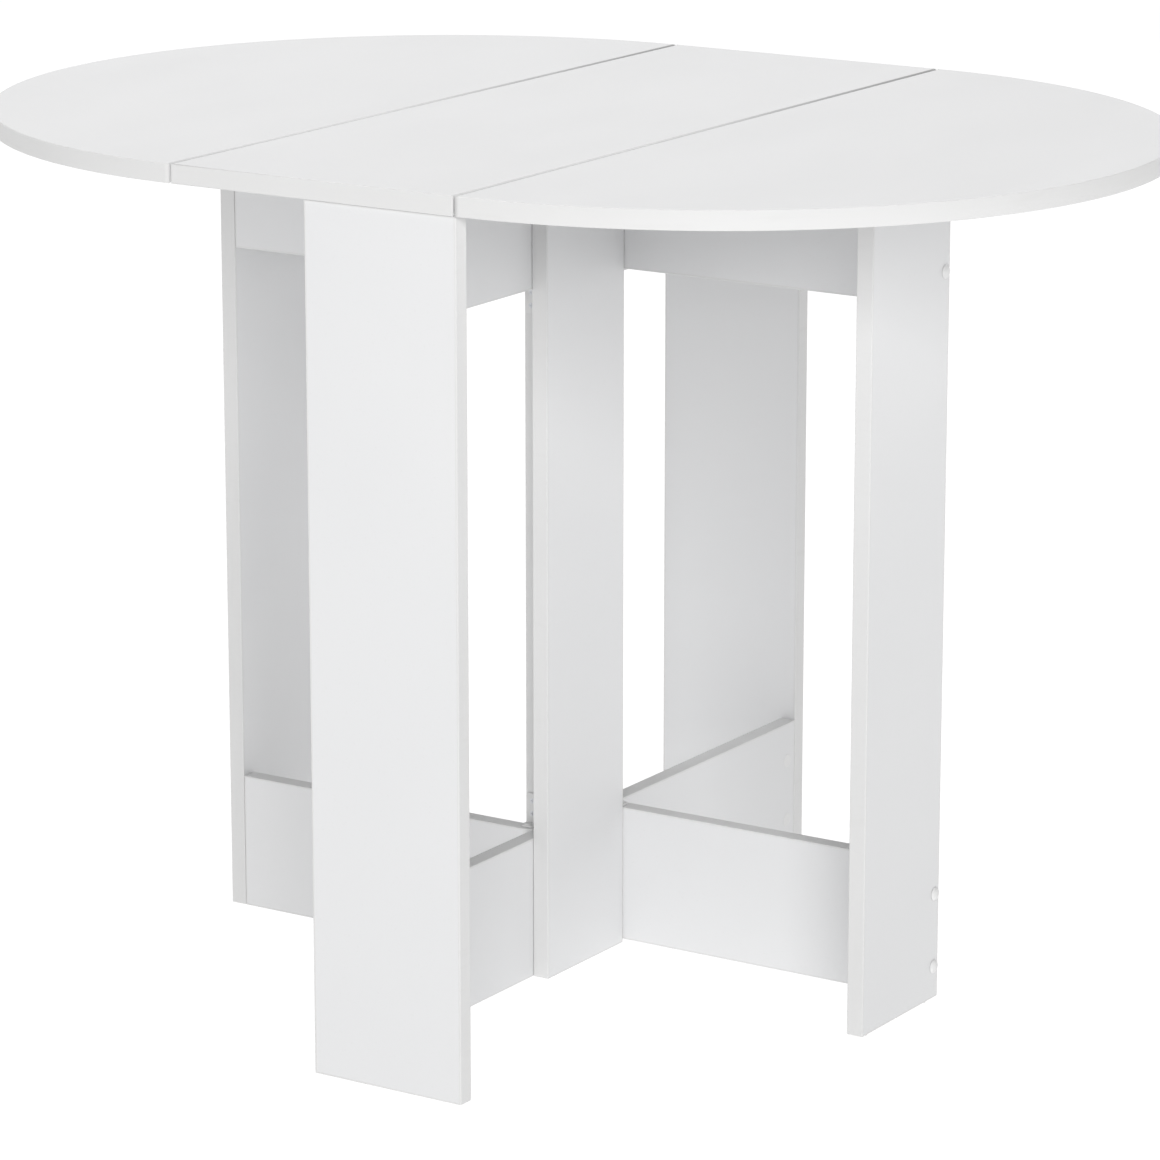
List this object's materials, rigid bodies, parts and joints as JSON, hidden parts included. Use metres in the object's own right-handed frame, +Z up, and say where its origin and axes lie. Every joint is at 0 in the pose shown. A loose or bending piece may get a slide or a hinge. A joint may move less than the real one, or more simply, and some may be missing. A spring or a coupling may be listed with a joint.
{
  "type": "gateleg table",
  "caption": "Small oval folding table with hinged half-round leaves that rest on swinging gate legs.",
  "frame": {"origin": "on the floor, at the centre of the open table's footprint", "axes": "+X towards the right leaf along the table's length, +Y to the back, +Z up"},
  "size_m": [1.03, 0.76, 0.734],
  "materials": {
    "top_laminate": "satin white melamine on chipboard",
    "frame_laminate": "satin white melamine on chipboard",
    "edge_band": "satin white edge band",
    "screw_cap": "white moulded cap",
    "hinge_zinc": "zinc-plated steel",
    "hinge_paint": "white-painted steel",
    "glide": "dark moulded nylon",
    "pad_plastic": "pale moulded plastic"
  },
  "bodies": {
    "centre_frame": {"top_centre_panel": "top_laminate", "centre_front_edge_band": "edge_band", "centre_back_edge_band": "edge_band", "centre_top_rail": "frame_laminate", "centre_bottom_rail": "frame_laminate", "front_leg_panel": "frame_laminate", "right_middle_leg": "frame_laminate", "right_leaf_hinge_front_fixed_plate": "hinge_zinc", "right_leaf_hinge_front_pin": "hinge_zinc", "right_leaf_hinge_back_fixed_plate": "hinge_zinc", "right_leaf_hinge_back_pin": "hinge_zinc", "right_gate_pivot_bottom": "hinge_paint", "right_gate_pivot_top": "hinge_paint", "back_leg_panel": "frame_laminate", "left_middle_leg": "frame_laminate", "left_leaf_hinge_front_fixed_plate": "hinge_zinc", "left_leaf_hinge_front_pin": "hinge_zinc", "left_leaf_hinge_back_fixed_plate": "hinge_zinc", "left_leaf_hinge_back_pin": "hinge_zinc", "left_gate_pivot_bottom": "hinge_paint", "left_gate_pivot_top": "hinge_paint"},
    "right_gate": {"right_gate_top_rail": "frame_laminate", "right_gate_top_rail_lower_cap": "screw_cap", "right_gate_top_rail_upper_cap": "screw_cap", "right_gate_bottom_rail": "frame_laminate", "right_gate_bottom_rail_lower_cap": "screw_cap", "right_gate_bottom_rail_upper_cap": "screw_cap", "right_gate_outer_leg": "frame_laminate", "right_gate_near_glide": "glide", "right_gate_far_glide": "glide"},
    "left_gate": {"left_gate_top_rail": "frame_laminate", "left_gate_top_rail_lower_cap": "screw_cap", "left_gate_top_rail_upper_cap": "screw_cap", "left_gate_bottom_rail": "frame_laminate", "left_gate_bottom_rail_lower_cap": "screw_cap", "left_gate_bottom_rail_upper_cap": "screw_cap", "left_gate_outer_leg": "frame_laminate", "left_gate_near_glide": "glide", "left_gate_far_glide": "glide"},
    "right_leaf": {"right_leaf_panel": "top_laminate", "right_leaf_edge_band": "edge_band", "right_leaf_rest_pad": "pad_plastic", "right_gate_stop": "pad_plastic", "right_leaf_hinge_front_leaf_plate": "hinge_zinc", "right_leaf_hinge_back_leaf_plate": "hinge_zinc"},
    "left_leaf": {"left_leaf_panel": "top_laminate", "left_leaf_edge_band": "edge_band", "left_leaf_rest_pad": "pad_plastic", "left_gate_stop": "pad_plastic", "left_leaf_hinge_front_leaf_plate": "hinge_zinc", "left_leaf_hinge_back_leaf_plate": "hinge_zinc"}
  },
  "joints": [
    {"name": "right_gate_hinge", "type": "hinge", "parent": "centre_frame", "child": "right_gate", "pos_m": [0.0153, 0.0498, 0.355], "axis": [0, 0, 1], "range_deg": [0, 90]},
    {"name": "left_gate_hinge", "type": "hinge", "parent": "centre_frame", "child": "left_gate", "pos_m": [-0.0153, -0.0498, 0.355], "axis": [0, 0, 1], "range_deg": [0, 90]},
    {"name": "right_leaf_hinge", "type": "hinge", "parent": "centre_frame", "child": "right_leaf", "pos_m": [0.135, 0, 0.7155], "axis": [0, -1, 0], "range_deg": [0, 5]},
    {"name": "left_leaf_hinge", "type": "hinge", "parent": "centre_frame", "child": "left_leaf", "pos_m": [-0.135, 0, 0.7155], "axis": [0, 1, 0], "range_deg": [0, 5]}
  ]
}
